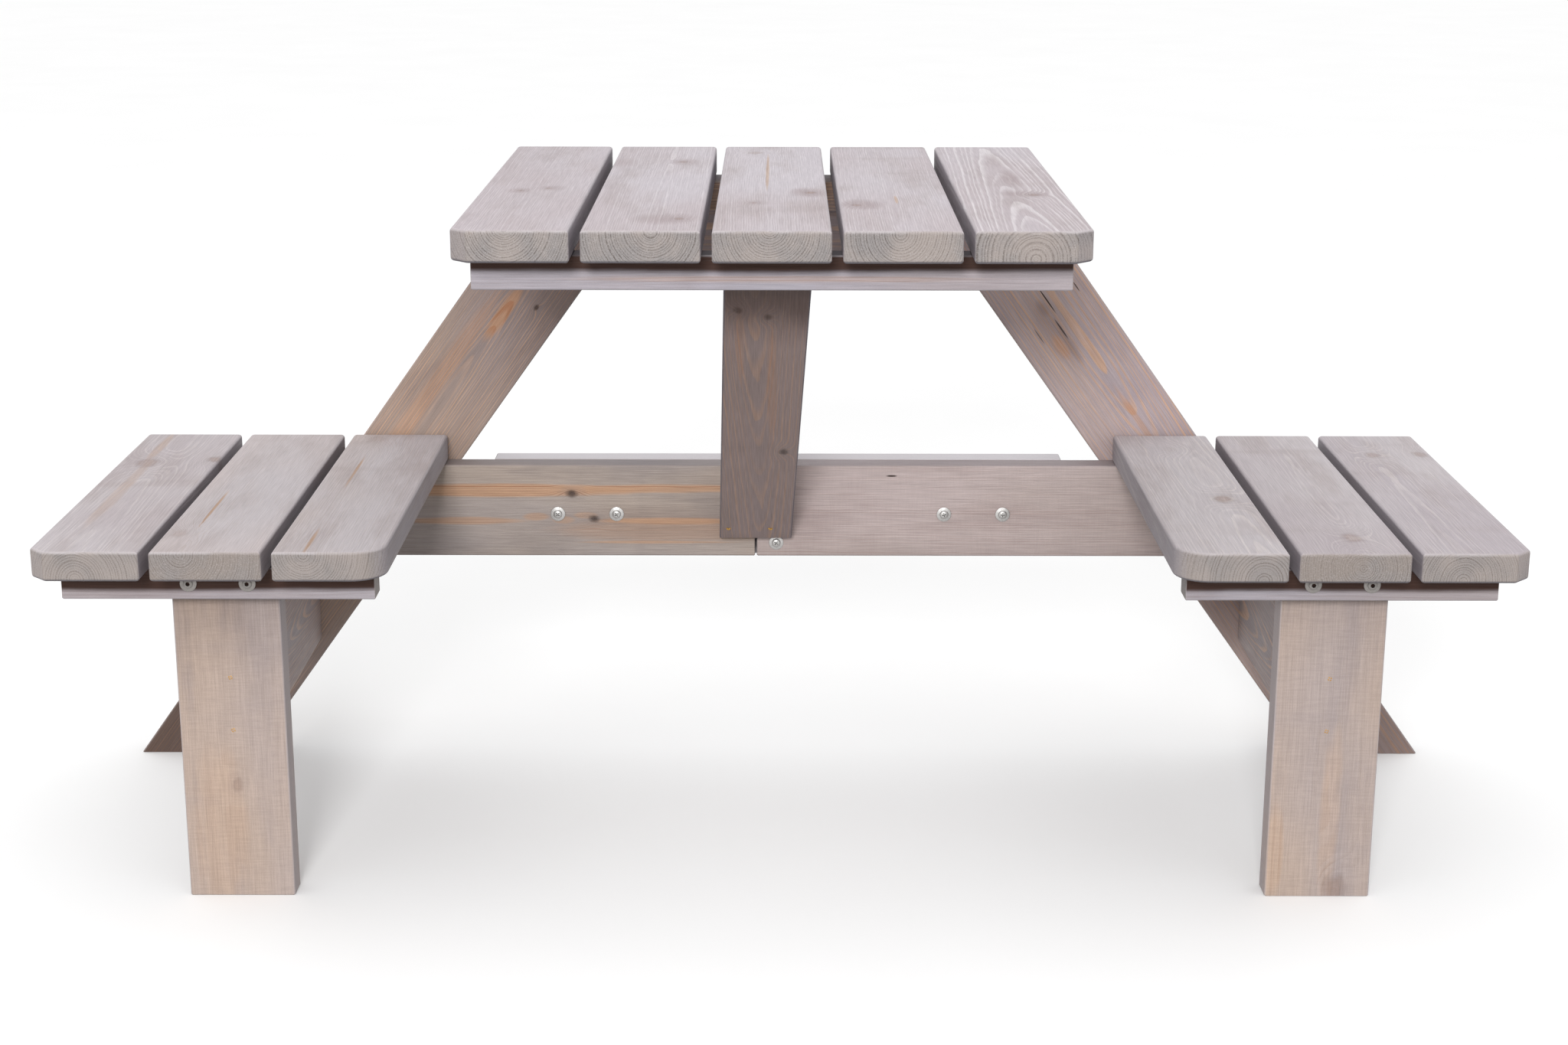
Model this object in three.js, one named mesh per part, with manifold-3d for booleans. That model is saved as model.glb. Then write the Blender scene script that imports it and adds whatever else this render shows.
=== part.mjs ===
// Compact two-bench picnic table in planed softwood.
// Millimetres. +X to the right, +Y towards the A-frame at the back, +Z up.
// The origin is on the ground, under the centre of the whole table.
import * as THREE from 'three';
import { mergeVertices } from 'three/addons/utils/BufferGeometryUtils.js';
import Module from 'manifold-3d';

const wasm = await Module();
wasm.setup();

// ---- driving dimensions -------------------------------------------------------------------

const contactGap = 0.3; // air left between faces that rest on each other
const board = { width: 115, thickness: 32, chamfer: 1.5 };
const plank = { edgeRadius: 3.5, gap: 11, backCorner: 5, outerCut: 17, innerCorner: 36 };
const batten = { height: 35, depth: 32, setback: 54 };
const table = { height: 765, depth: 670, planks: 5, offset: -9, battenLength: 591 };
const seat = { height: 418, depth: 527, setback: 95, planks: 3, centre: 592, battenLength: 330 };
const aFrame = { setback: 627, footReach: 812, lean: 0.72, headBoardLength: 276 };
const beam = { joint: -30, jointGap: 2.5, outerEnd: 757 };
const splice = { length: 699, height: 121, offset: -3 };
const brace = { width: 88, headOffset: -13, footOffset: -30, footHeight: 298, noseDepth: 16 };
const stretcher = { bottom: 154 };

// Washer-head screws are zinc plated; countersunk screws are brass plated.
const washerScrew = {
  flangeRadius: 9, flangeHeight: 1.4, crownRadius: 5, crownHeight: 3.6, shankRadius: 3, length: 58,
};
const legScrew = { headRadius: 5, proud: 0.2, shankRadius: 2.2, length: 78 };
const braceScrew = { headRadius: 3, proud: 0.2, shankRadius: 1.6, length: 72 };
const hole = { clearance: 0.5, overrun: 1, segments: 12 };
const fastenerSegments = 16;

// Where the screws sit on the boards. spread is half the distance between two in a row.
const spliceScrews = { inner: 201, outer: 273, drop: 4 };
const jointScrew = { x: -5, height: 288 };
const legJoint = { x: 505, spread: 26, rise: 22 };
const seatBoltSpread = 31;
const legScrewHeights = [193, 253];
const braceScrews = { offsets: [-33, 18], alongFoot: 31 };

// ---- derived levels and lines ---------------------------------------------------------------

const frontLine = -table.depth / 2; // front ends of the tabletop planks
const plankPitch = board.width + plank.gap;
const tableUnderside = table.height - board.thickness;
const seatUnderside = seat.height - board.thickness;
const seatFront = frontLine + seat.setback;
const aFrameFace = frontLine + aFrame.setback; // front faces of the leaning legs
const beamFace = aFrameFace - board.thickness; // front faces of the seat beam halves
const tableBattenFace = frontLine + batten.setback;
const seatBattenFace = seatFront + batten.setback;
const frontLegFace = seatBattenFace + batten.depth;
const beamTop = seatUnderside - contactGap;
const beamBottom = beamTop - board.width;

// ---- materials ------------------------------------------------------------------------------

const finishes = {
  topWood: { color: '#b8b0b0', roughness: 0.62, metalness: 0 },
  seatWood: { color: '#b1a7a4', roughness: 0.62, metalness: 0 },
  frameWood: { color: '#8c7d77', roughness: 0.66, metalness: 0 },
  legWood: { color: '#a3958b', roughness: 0.68, metalness: 0 },
  braceWood: { color: '#6f6161', roughness: 0.66, metalness: 0 },
  zinc: { color: '#c9ccd0', roughness: 0.3, metalness: 1 },
  brass: { color: '#b8954f', roughness: 0.32, metalness: 1 },
};

const object = new THREE.Group();

function addMesh(name, geometry, finish, position = [0, 0, 0], rotation = [0, 0, 0]) {
  const mesh = new THREE.Mesh(geometry, new THREE.MeshStandardMaterial(finishes[finish]));
  mesh.name = name;
  mesh.position.set(...position);
  mesh.rotation.set(...rotation);
  object.add(mesh);
}

// ---- solids ---------------------------------------------------------------------------------

function toSolid(geometry) {
  const bare = geometry.clone();
  bare.deleteAttribute('normal');
  bare.deleteAttribute('uv');
  const merged = mergeVertices(bare, 1e-4);
  return new wasm.Manifold(new wasm.Mesh({
    numProp: 3,
    vertProperties: new Float32Array(merged.attributes.position.array),
    triVerts: new Uint32Array(merged.index.array),
  }));
}

function toGeometry(solid) {
  const mesh = solid.getMesh();
  const geometry = new THREE.BufferGeometry();
  geometry.setAttribute('position', new THREE.BufferAttribute(mesh.vertProperties, 3));
  geometry.setIndex(new THREE.BufferAttribute(mesh.triVerts, 1));
  geometry.computeVertexNormals();
  return geometry;
}

// Corners of a plank seen from above. Each reaches some way along both edges and is closed by a
// number of flats: one flat cuts the corner straight off, several round it, none leaves it square.
const squareCorner = { reach: 0, flats: 0 };
const cutCorner = (reach) => ({ reach, flats: 1 });
const roundCorner = (reach) => ({ reach, flats: Math.max(4, Math.round(reach / 4)) });

// A rectangle centred on the origin. corners: [low-left, low-right, high-right, high-left].
function cornered(width, height, corners) {
  const sides = [[-1, -1], [1, -1], [1, 1], [-1, 1]];
  const points = sides.flatMap(([right, up], i) => {
    const { reach, flats } = corners[i];
    return Array.from({ length: flats + 1 }, (_, step) => {
      const turn = Math.PI * (1 + i / 2 + (flats ? step / flats / 2 : 0));
      return new THREE.Vector2(
        right * (width / 2 - reach) + reach * Math.cos(turn),
        up * (height / 2 - reach) + reach * Math.sin(turn),
      );
    });
  });
  return new THREE.Shape(points);
}

// A plank along Y, centred on the origin, with every edge of its two broad faces rounded over.
function plankGeometry(length, corners) {
  const edge = plank.edgeRadius;
  const geometry = new THREE.ExtrudeGeometry(cornered(board.width, length, corners), {
    depth: board.thickness - edge * 2,
    bevelThickness: edge,
    bevelSize: edge,
    bevelOffset: -edge,
    bevelSegments: 3,
  });
  geometry.translate(0, 0, edge - board.thickness / 2);
  return geometry;
}

// An outline drawn in XY and given a thickness in Z about the origin, with chamfered edges.
function slab(points, thickness) {
  const chamfer = board.chamfer;
  const geometry = new THREE.ExtrudeGeometry(new THREE.Shape(points.map((p) => new THREE.Vector2(...p))), {
    depth: thickness - chamfer * 2,
    bevelThickness: chamfer,
    bevelSize: chamfer,
    bevelOffset: -chamfer,
    bevelSegments: 1,
  });
  geometry.translate(0, 0, chamfer - thickness / 2);
  return geometry;
}

function bar(length, height, thickness) {
  const x = length / 2;
  const y = height / 2;
  return slab([[-x, -y], [x, -y], [x, y], [-x, y]], thickness);
}

// Turns a slab whose outline was drawn as (X, Z) so that its thickness lies along Y.
function stoodAcross(geometry) {
  return geometry.rotateX(Math.PI / 2);
}

// Turns a slab whose outline was drawn as (Y, Z) so that its thickness lies along X.
function stoodLengthwise(geometry) {
  return geometry.rotateX(Math.PI / 2).rotateZ(Math.PI / 2);
}

// ---- fasteners ------------------------------------------------------------------------------

// Every fastener points along +Y: its head faces the front and its tip is towards the back.
// at: the point where the head meets the wood.
const fasteners = [];

function addWasherScrews(prefix, y, points) {
  points.forEach(([x, z], i) => fasteners.push({
    name: `${prefix}_${i + 1}`, countersunk: false, size: washerScrew, finish: 'zinc', at: [x, y, z],
  }));
}

function addCountersunkScrews(prefix, size, points) {
  points.forEach((at, i) => fasteners.push({
    name: `${prefix}_${i + 1}`, countersunk: true, size, finish: 'brass', at,
  }));
}

// Half-profiles as [radius, depth], where depth is measured from the wood's face along the shank.
function washerHead(size) {
  return [
    [0, -size.crownHeight],
    [size.crownRadius * 0.7, -size.crownHeight * 0.93],
    [size.crownRadius, -size.flangeHeight * 1.6],
    [size.flangeRadius - size.flangeHeight / 2, -size.flangeHeight],
    [size.flangeRadius, -size.flangeHeight / 2],
    [size.flangeRadius, -contactGap],
    [size.shankRadius, -contactGap],
  ];
}

function countersunkHead(size) {
  return [
    [0, -size.proud],
    [size.headRadius * 0.8, -size.proud],
    [size.headRadius, size.proud],
    [size.shankRadius, size.headRadius],
  ];
}

function latheAlongY(profile, segments) {
  return new THREE.LatheGeometry(profile.map(([radius, depth]) => new THREE.Vector2(radius, depth)), segments);
}

function fastenerGeometry({ countersunk, size }) {
  const head = countersunk ? countersunkHead(size) : washerHead(size);
  const pointStart = size.length - size.shankRadius * 2;
  return latheAlongY([...head, [size.shankRadius, pointStart], [0, size.length]], fastenerSegments);
}

// The hole that a fastener needs: a shank bore, opened into a cone for a countersunk head.
function holeSolid({ countersunk, size, at }) {
  const bore = size.shankRadius + hole.clearance;
  const end = size.length + hole.overrun;
  const mouth = countersunk
    ? [
      [size.headRadius + hole.clearance, -hole.overrun],
      [size.headRadius + hole.clearance, size.proud],
      [bore, size.headRadius + hole.clearance],
    ]
    : [[bore, -hole.overrun]];
  const geometry = latheAlongY([[0, -hole.overrun], ...mouth, [bore, end], [0, end]], hole.segments);
  return toSolid(geometry.translate(...at));
}

// Cuts the holes of the fasteners whose names start with one of the prefixes, in a board that is
// going to be placed at position.
function drilled(geometry, position, prefixes) {
  let solid = toSolid(geometry.translate(...position));
  fasteners
    .filter(({ name }) => prefixes.some((prefix) => name.startsWith(prefix)))
    .forEach((fastener) => { solid = solid.subtract(holeSolid(fastener)); });
  return toGeometry(solid).translate(...position.map((value) => -value));
}

const beamScrewHeight = beamBottom + board.width / 2 - spliceScrews.drop;

const spliceScrewX = [-spliceScrews.outer, -spliceScrews.inner, spliceScrews.inner, spliceScrews.outer];

addWasherScrews('splice_screw', beamFace, spliceScrewX.map((x) => [x, beamScrewHeight]));
addWasherScrews('joint_screw', beamFace, [[jointScrew.x, jointScrew.height]]);
for (const [side, sign] of [['left', -1], ['right', 1]]) {
  addWasherScrews(`${side}_a_leg_screw`, beamFace, [
    [sign * (legJoint.x + legJoint.spread), beamScrewHeight - legJoint.rise],
    [sign * (legJoint.x - legJoint.spread), beamScrewHeight + legJoint.rise],
  ]);
  addWasherScrews(`${side}_seat_bolt`, seatBattenFace, [
    [sign * seat.centre - seatBoltSpread, seatUnderside - batten.height / 2],
    [sign * seat.centre + seatBoltSpread, seatUnderside - batten.height / 2],
  ]);
  addCountersunkScrews(
    `${side}_leg_screw`, legScrew, legScrewHeights.map((z) => [sign * seat.centre, frontLegFace, z]),
  );
}

// The brace's front face runs from the bottom of the front batten down to the foot of the brace.
const braceHead = { y: tableBattenFace + batten.depth + contactGap, z: tableUnderside - batten.height };
const braceFoot = { y: beamFace - brace.noseDepth, z: brace.footHeight };
const braceLength = Math.hypot(braceFoot.y - braceHead.y, braceHead.z - braceFoot.z);
const braceRun = (braceFoot.y - braceHead.y) / braceLength;
const braceDrop = (braceHead.z - braceFoot.z) / braceLength;
// The brace leans sideways a little, because its foot covers the joint of the seat beam.
const braceSkew = (brace.footOffset - brace.headOffset) / (braceFoot.y - braceHead.y);

addCountersunkScrews('brace_screw', braceScrew, braceScrews.offsets.map((offset) => [
  brace.footOffset + offset,
  braceFoot.y - braceScrews.alongFoot * braceRun,
  braceFoot.z + braceScrews.alongFoot * braceDrop,
]));

// ---- tabletop and seats -----------------------------------------------------------------------

function addTabletop() {
  for (let i = 0; i < table.planks; i += 1) {
    const corners = [
      i === 0 ? cutCorner(plank.outerCut) : squareCorner,
      i === table.planks - 1 ? cutCorner(plank.outerCut) : squareCorner,
      roundCorner(plank.backCorner),
      roundCorner(plank.backCorner),
    ];
    const x = table.offset + (i - (table.planks - 1) / 2) * plankPitch;
    addMesh(
      `top_plank_${i + 1}`, plankGeometry(table.depth, corners), 'topWood',
      [x, 0, table.height - board.thickness / 2],
    );
  }
  const battens = [
    ['front_top_batten', 'topWood', tableBattenFace],
    ['back_top_batten', 'frameWood', beamFace],
  ];
  for (const [name, finish, face] of battens) {
    addMesh(
      name, stoodAcross(bar(table.battenLength, batten.height, batten.depth - contactGap)), finish,
      [table.offset, face + batten.depth / 2, tableUnderside - batten.height / 2 - contactGap],
    );
  }
}

function addSeat(side, sign) {
  for (let i = 0; i < seat.planks; i += 1) {
    const back = roundCorner(plank.backCorner);
    const fromOutside = sign < 0 ? i : seat.planks - 1 - i;
    const outerFront = fromOutside === 0 ? cutCorner(plank.outerCut) : squareCorner;
    const innerFront = fromOutside === seat.planks - 1 ? roundCorner(plank.innerCorner) : squareCorner;
    const front = sign < 0 ? [outerFront, innerFront] : [innerFront, outerFront];
    const x = sign * seat.centre + (i - (seat.planks - 1) / 2) * plankPitch;
    addMesh(
      `${side}_seat_plank_${i + 1}`,
      plankGeometry(seat.depth, [...front, back, back]),
      'seatWood',
      [x, seatFront + seat.depth / 2, seat.height - board.thickness / 2],
    );
  }
  const position = [
    sign * seat.centre,
    seatBattenFace + batten.depth / 2,
    seatUnderside - batten.height / 2 - contactGap,
  ];
  const strip = stoodAcross(bar(seat.battenLength, batten.height, batten.depth - contactGap));
  addMesh(`${side}_seat_batten`, drilled(strip, position, [`${side}_seat_bolt`]), 'seatWood', position);
}

// ---- frame ------------------------------------------------------------------------------------

function addFrontLeg(side, sign) {
  const height = seatUnderside - contactGap;
  const position = [sign * seat.centre, frontLegFace + board.thickness / 2, height / 2];
  const upright = stoodAcross(bar(board.width, height, board.thickness));
  const screws = [`${side}_seat_bolt`, `${side}_leg_screw`];
  addMesh(`${side}_front_leg`, drilled(upright, position, screws), 'legWood', position);
}

// The horizontal rail, on edge, from a front leg back to the leaning leg behind it.
function addStretcher(side, sign) {
  const start = frontLegFace + board.thickness + contactGap;
  const end = aFrameFace - contactGap;
  const position = [sign * seat.centre, (start + end) / 2, stretcher.bottom + board.width / 2];
  const rail = stoodLengthwise(bar(end - start, board.width, board.thickness));
  addMesh(`${side}_stretcher`, drilled(rail, position, [`${side}_leg_screw`]), 'frameWood', position);
}

// A leaning leg, cut level at the ground and under the tabletop.
function addLeaningLeg(side, sign) {
  const top = tableUnderside - contactGap;
  const levelWidth = board.width * Math.hypot(1, aFrame.lean);
  const footOuter = sign * aFrame.footReach;
  const footInner = footOuter - sign * levelWidth;
  const topShift = -sign * aFrame.lean * top;
  const outline = [
    [footOuter, 0],
    [footInner, 0],
    [footInner + topShift, top],
    [footOuter + topShift, top],
  ];
  const position = [0, aFrameFace + board.thickness / 2, 0];
  const leg = stoodAcross(slab(sign < 0 ? outline : outline.reverse(), board.thickness));
  addMesh(`${side}_a_leg`, drilled(leg, position, [`${side}_a_leg_screw`]), 'frameWood', position);
}

function addBeamHalf(side, sign) {
  const inner = beam.joint + sign * beam.jointGap / 2;
  const outer = sign * beam.outerEnd;
  const position = [(inner + outer) / 2, beamFace + board.thickness / 2, beamBottom + board.width / 2];
  const ownScrews = sign < 0
    ? ['splice_screw_1', 'splice_screw_2']
    : ['splice_screw_3', 'splice_screw_4', 'joint_screw'];
  const half = stoodAcross(bar(Math.abs(outer - inner), board.width, board.thickness - contactGap));
  const screws = [...ownScrews, `${side}_a_leg_screw`, 'brace_screw'];
  addMesh(`${side}_seat_beam`, drilled(half, position, screws), 'frameWood', position);
}

// The boards that fill the A-frame between its legs: behind the seat beam and at the top.
function addFillerBoards() {
  const y = aFrameFace + board.thickness / 2;
  const splicePosition = [splice.offset, y, beamTop - splice.height / 2];
  const spliceBar = stoodAcross(bar(splice.length, splice.height, board.thickness));
  const spliceScrewed = drilled(spliceBar, splicePosition, ['splice_screw', 'joint_screw']);
  addMesh('splice_board', spliceScrewed, 'frameWood', splicePosition);
  addMesh(
    'head_board',
    stoodAcross(bar(aFrame.headBoardLength, board.width, board.thickness)),
    'frameWood',
    [0, y, tableUnderside - board.width / 2 - contactGap],
  );
}

// The sloping board from the front batten down to the middle of the seat beam. Its profile is
// drawn in (Y, Z): a plumb cut on the batten, a level cut under the planks, a plumb cut on the
// beam and a level nose. The profile is sheared sideways to follow the brace's slight skew.
function addBrace() {
  const slope = braceDrop / braceRun;
  const rise = board.thickness / braceRun;
  const top = tableUnderside - contactGap;
  const beamContact = beamFace - contactGap;
  const upperFace = (y) => braceHead.z + rise - (y - braceHead.y) * slope;
  const levelCutEnd = braceHead.y + (braceHead.z + rise - top) / slope;
  const outline = [
    [braceHead.y, braceHead.z],
    [braceFoot.y, braceFoot.z],
    [beamContact, braceFoot.z],
    [beamContact, upperFace(beamContact)],
    [levelCutEnd, top],
    [braceHead.y, top],
  ];
  const geometry = stoodLengthwise(slab(outline, brace.width));
  const shear = new THREE.Matrix4().set(
    1, braceSkew, 0, brace.headOffset - braceSkew * braceHead.y,
    0, 1, 0, 0,
    0, 0, 1, 0,
    0, 0, 0, 1,
  );
  geometry.applyMatrix4(shear);
  addMesh('centre_brace', drilled(geometry, [0, 0, 0], ['brace_screw']), 'braceWood');
}

// ---- assembly ---------------------------------------------------------------------------------

addTabletop();
for (const [side, sign] of [['left', -1], ['right', 1]]) {
  addSeat(side, sign);
  addFrontLeg(side, sign);
  addStretcher(side, sign);
  addLeaningLeg(side, sign);
  addBeamHalf(side, sign);
}
addFillerBoards();
addBrace();
for (const fastener of fasteners) {
  addMesh(fastener.name, fastenerGeometry(fastener), fastener.finish, fastener.at);
}

export default object;
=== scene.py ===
"""Looks for the picnic table: planed softwood boards under a thin pale glaze, zinc and brass screws.

Every board replaces its CAD node. Its size and place come from the frame, and its grain comes
from a small model of the log it was sawn from: where the pith runs, how wide the rings are, and
where the knots are. Metres throughout, in the frame's own axes.
"""

import math

import bmesh
import bpy
from mathutils import Matrix, Vector


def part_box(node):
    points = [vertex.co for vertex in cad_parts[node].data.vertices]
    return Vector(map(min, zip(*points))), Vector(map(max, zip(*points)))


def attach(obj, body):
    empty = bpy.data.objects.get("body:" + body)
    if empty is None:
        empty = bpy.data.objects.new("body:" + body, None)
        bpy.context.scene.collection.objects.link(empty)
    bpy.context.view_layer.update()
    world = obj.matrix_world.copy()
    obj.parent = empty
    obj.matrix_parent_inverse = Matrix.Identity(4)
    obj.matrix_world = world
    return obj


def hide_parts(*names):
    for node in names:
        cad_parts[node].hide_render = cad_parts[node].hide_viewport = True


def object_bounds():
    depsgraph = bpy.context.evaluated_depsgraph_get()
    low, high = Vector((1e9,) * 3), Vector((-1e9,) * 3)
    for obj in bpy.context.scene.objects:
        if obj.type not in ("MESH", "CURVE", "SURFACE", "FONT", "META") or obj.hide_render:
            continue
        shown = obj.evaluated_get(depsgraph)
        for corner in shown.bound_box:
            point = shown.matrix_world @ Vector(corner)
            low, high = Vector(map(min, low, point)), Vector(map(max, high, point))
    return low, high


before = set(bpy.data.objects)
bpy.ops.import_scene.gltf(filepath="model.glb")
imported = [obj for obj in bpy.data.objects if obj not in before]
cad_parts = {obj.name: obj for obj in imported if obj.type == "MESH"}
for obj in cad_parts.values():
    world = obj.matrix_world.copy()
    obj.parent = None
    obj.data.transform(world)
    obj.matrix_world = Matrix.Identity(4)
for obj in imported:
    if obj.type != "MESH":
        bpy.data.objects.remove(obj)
cad_low, cad_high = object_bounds()

# ---- driving dimensions ----

PLANK_ROUND = 0.0035  # rounded edges of the tabletop and seat planks
FRAME_ROUND = 0.0022  # eased long edges of the other boards
SAWN_ROUND = 0.0009  # edges of their sawn ends
END_REACH = 1.6  # how far the end grain's tone runs up the rounded edges beside it
UPRIGHT_CUT = 0.0011  # small cut on the corners that stand between two sawn edges
OUTER_CUT = 0.017  # straight cut on the outer front corners of the tabletop and the seats
INNER_CORNER = 0.036  # rounded inner front corner of each seat
BACK_CORNER = 0.005  # rounded back corners of every plank
ROUND_STEPS = 5  # facets across a rounded edge
CORNER_STEPS = 10  # facets round a rounded corner
ALONG_GRAIN = 0.9  # an edge whose run has at least this much X counts as a long edge
BOARD_CREASE = math.radians(32)  # edges that turn by more than this stay sharp

BRACE_WIDTH = 0.088  # narrower than the other boards
BRACE_NOSE = 0.016  # how far the brace's foot stands out in front of the beam
BRACE_SKEW = -17 / 493  # how far the brace wanders sideways for each metre towards the back
SAME_LEVEL = 0.0001  # points closer in height than this are on one level

WASHER_CROWN = 0.0036  # how far the washer-head screws stand off the wood
WASHER_FLANGE = 0.0014
WASHER_LIFT = 0.0003  # the gap between the flange and the wood
WASHER_NECK = 0.002  # how deep its shank's shoulder reaches
WASHER_CROSS_FLOOR = 0.2  # share of the crown's height that is left under the cross
COUNTERSUNK_PROUD = 0.0009
CUTTER_CLEARANCE = 0.001  # how far a recess's cutter starts above the head
PLANK_SCREW_RADIUS = 0.004
PLANK_SCREW_LENGTH = 0.055
PLANK_SCREW_SPREAD = 0.022  # from the middle of the plank
LATHE_STEPS = 48  # facets round a screw
TURN_CHOICES = 17  # how many different turns the screw heads take
HEAD_CREASE = math.radians(35)

FLOOR_REACH = 200  # so wide that its edge doesn't show
HORIZON = (-0.03, -0.01)  # how steeply a direction points up where the sky starts and ends changing
SKY_BELOW = 0.3
SKY_ABOVE = 1.05
LAMP_SPOT = (-0.5, -4.8, 2.3)
LAMP_SIZE = 1.0
LAMP_WATTS = 150

CAMERA_SPOT = (-0.0027, -2.7179, 1.1299)
CAMERA_SENSOR = 36
CAMERA_LENS = 57.66
CAMERA_DOWN = 15.33  # degrees below level
CAMERA_TURN = -0.14  # degrees, anticlockwise from above
CAMERA_ROLL = 0.12

RIGHT = Vector((1, 0, 0))
BACK = Vector((0, 1, 0))
UP = Vector((0, 0, 1))
FRONT = -BACK


def tone(code):
    """A colour written as six hex digits, as linear red, green, blue, alpha."""
    parts = [int(code[i:i + 2], 16) / 255 for i in (0, 2, 4)]
    return (*[p / 12.92 if p <= 0.04045 else ((p + 0.055) / 1.055) ** 2.4 for p in parts], 1)


# ---- a short way to write materials ----


class Recipe:
    """One material's nodes. Each method adds a node and returns its output."""

    def __init__(self, name):
        self.material = bpy.data.materials.new(name)
        self.material.use_nodes = True
        self.tree = self.material.node_tree
        self.shader = self.tree.nodes["Principled BSDF"]

    def node(self, kind, **settings):
        made = self.tree.nodes.new(kind)
        for key, value in settings.items():
            setattr(made, key, value)
        return made

    def feed(self, socket, value):
        if isinstance(value, bpy.types.NodeSocket):
            self.tree.links.new(value, socket)
        else:
            socket.default_value = value

    def calc(self, operation, *values):
        made = self.node("ShaderNodeMath", operation=operation)
        for socket, value in zip(made.inputs, values):
            self.feed(socket, value)
        return made.outputs[0]

    def add(self, *values):
        total = values[0]
        for value in values[1:]:
            total = self.calc("ADD", total, value)
        return total

    def times(self, *values):
        total = values[0]
        for value in values[1:]:
            total = self.calc("MULTIPLY", total, value)
        return total

    def ramp(self, value, start, end, low=0.0, high=1.0, smooth=True):
        """Runs from low to high while value runs from start to end, and stays level outside."""
        made = self.node("ShaderNodeMapRange", interpolation_type="SMOOTHSTEP" if smooth else "LINEAR")
        for socket, entry in zip(made.inputs, (value, start, end, low, high)):
            self.feed(socket, entry)
        return made.outputs[0]

    def mix(self, share, first, second, blend="MIX"):
        made = self.node("ShaderNodeMix", data_type="RGBA", blend_type=blend)
        self.feed(made.inputs[0], share)
        self.feed(made.inputs[6], first)
        self.feed(made.inputs[7], second)
        return made.outputs[2]

    def vector(self, x, y, z):
        made = self.node("ShaderNodeCombineXYZ")
        for socket, value in zip(made.inputs, (x, y, z)):
            self.feed(socket, value)
        return made.outputs[0]

    def place(self):
        """The point in the board's own axes, as a vector and as its three parts."""
        point = self.node("ShaderNodeAttribute", attribute_name="grain").outputs["Vector"]
        parts = self.node("ShaderNodeSeparateXYZ")
        self.feed(parts.inputs[0], point)
        return point, parts.outputs[0], parts.outputs[1], parts.outputs[2]

    def noise(self, point, scale, seed, detail=2.0, roughness=0.5):
        """Noise from 0 to 1. scale gives the waves in a metre along each axis."""
        stretched = self.node("ShaderNodeVectorMath", operation="MULTIPLY_ADD")
        self.feed(stretched.inputs[0], point)
        stretched.inputs[1].default_value = scale
        stretched.inputs[2].default_value = (seed * 7.3, seed * 3.1, seed * 5.7)
        made = self.node("ShaderNodeTexNoise")
        self.feed(made.inputs["Vector"], stretched.outputs[0])
        made.inputs["Scale"].default_value = 1
        made.inputs["Detail"].default_value = detail
        made.inputs["Roughness"].default_value = roughness
        return made.outputs[0]

    def stored(self, name):
        return self.node("ShaderNodeAttribute", attribute_name=name).outputs["Fac"]

    def bump(self, height, distance, strength):
        made = self.node("ShaderNodeBump")
        made.inputs["Strength"].default_value = strength
        made.inputs["Distance"].default_value = distance
        self.feed(made.inputs["Height"], height)
        self.tree.links.new(made.outputs[0], self.shader.inputs["Normal"])


# ---- wood ----

# Tones are six hex digits, and places are in metres from the middle of the board.
ALONG, ACROSS = 0, 1

PLAIN_WOOD = {
    "glaze": "b0a5a9",  # between the rings
    "second": "b9b2b8",  # the glaze where it lies thicker and whiter
    "line": "d6d0d3",  # the late wood of each ring
    "line_strength": 0.5,
    "patch": "9b8e8e",  # drifting patches where the glaze is thin
    "patch_strength": 0.5,
    "warm": "b59c8a",  # resin streaks that show through
    "warm_line": "9d806c",
    "smear": "8d7b7c",  # soft dark marks where a branch lies near the face
    "side": "77727a",  # painted shade on the narrow long faces, as dark as in the gaps between the planks
    "side_lighting_strength": 0.5,
    "end": "9c928d",  # end grain
    "end_second": "898483",
    "end_line": "463a33",
    "end_fleck": "bdb6b4",
    "worn_and_lit": "c6bfc2",  # the show face's rounded edges: glaze rubbed thin, and a painted highlight where they turn towards the light
    "knot": "8f776b",
    "rim": "6f5c54",
    "opposite_edge_shade": "57555e",  # painted shade on the rounded edges of the face opposite the show face, the undersides of the planks
    # the colour of the darkened bands below, most of them painted shade
    "shade": "321709",
    "shades": [],  # darkened bands, mostly painted shadow under overhanging boards, some only darker towards a foot or a lower edge: ALONG or ACROSS, where it starts, where it is full, strength
    "pith": (0.0, 0.03),  # across, depth
    "drift": (0.0, 0.0),  # how far the pith moves for each metre along the board
    "dive": None,  # where the pith starts and ends sinking away from the face, and by how much
    "ring": 0.0028,  # width of one year's ring
    "wander": 0.012,  # how far the rings bend
    "knots": [],  # along, across, radius, darkness
    "streaks": [],  # along, across, half length, half width, strength
    "smears": [],  # the same
    "cracks": [],  # the same, for thin dark splits
    "weave": 0.0,  # how strongly the saw's marks show
    "streaky": 0.13,  # how strongly the fibres show
    "seed": 1.0,
}

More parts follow.
